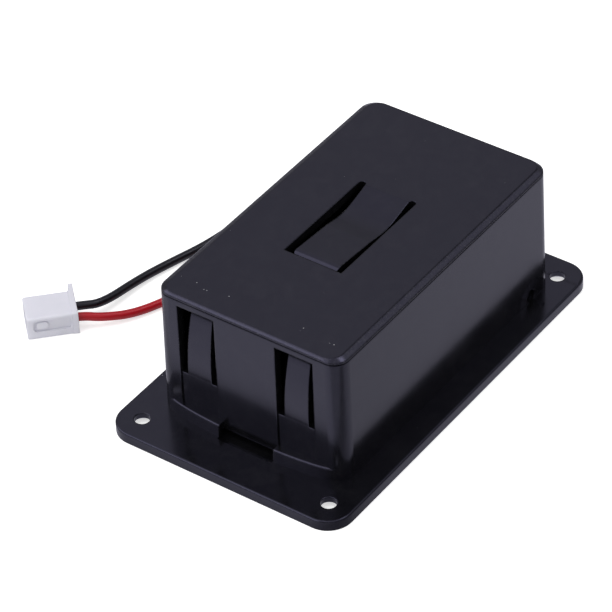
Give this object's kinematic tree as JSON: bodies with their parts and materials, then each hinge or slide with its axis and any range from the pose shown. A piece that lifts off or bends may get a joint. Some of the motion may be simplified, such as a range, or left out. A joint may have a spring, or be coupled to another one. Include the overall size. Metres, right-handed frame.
{
  "type": "nine volt battery holder",
  "caption": "Flush-mount box for a nine volt block battery: flanged moulded case with spring tongues, a flip-out tray, riveted contacts and free leads ending in a crimp plug.",
  "frame": {"origin": "centre of the mounting flange's rectangle, at its outer face", "axes": "+X along the box towards the hinge and the contacts, +Y across it, +Z from the flange's outer face towards the closed roof of the box"},
  "size_m": [0.0811, 0.0672, 0.0235],
  "materials": {
    "black_moulding": "semi-gloss moulded black",
    "nickel_plate": "nickel-plated spring strip",
    "tinned_brass": "tinned, bright",
    "rivet_brass": "bright",
    "solder": "bright, slightly dulled",
    "lead_red": "satin insulation",
    "lead_black": "satin insulation",
    "plug_nylon": "translucent natural nylon"
  },
  "bodies": {
    "case": {"case": "black_moulding", "contact_positive": "nickel_plate", "contact_negative": "nickel_plate", "solder_tag_positive": "tinned_brass", "solder_tag_negative": "tinned_brass", "rivet_positive": "rivet_brass", "rivet_negative": "rivet_brass", "solder_positive": "solder", "solder_negative": "solder", "lead_red": "lead_red", "lead_black": "lead_black", "plug_housing": "plug_nylon", "terminal_red": "tinned_brass", "terminal_black": "tinned_brass"},
    "tray": {"battery_tray": "black_moulding"}
  },
  "joints": [
    {"name": "tray_hinge", "type": "hinge", "parent": "case", "child": "tray", "pos_m": [0.02305, 0, 0.00255], "axis": [0, -1, 0], "range_deg": [0, 35]}
  ]
}
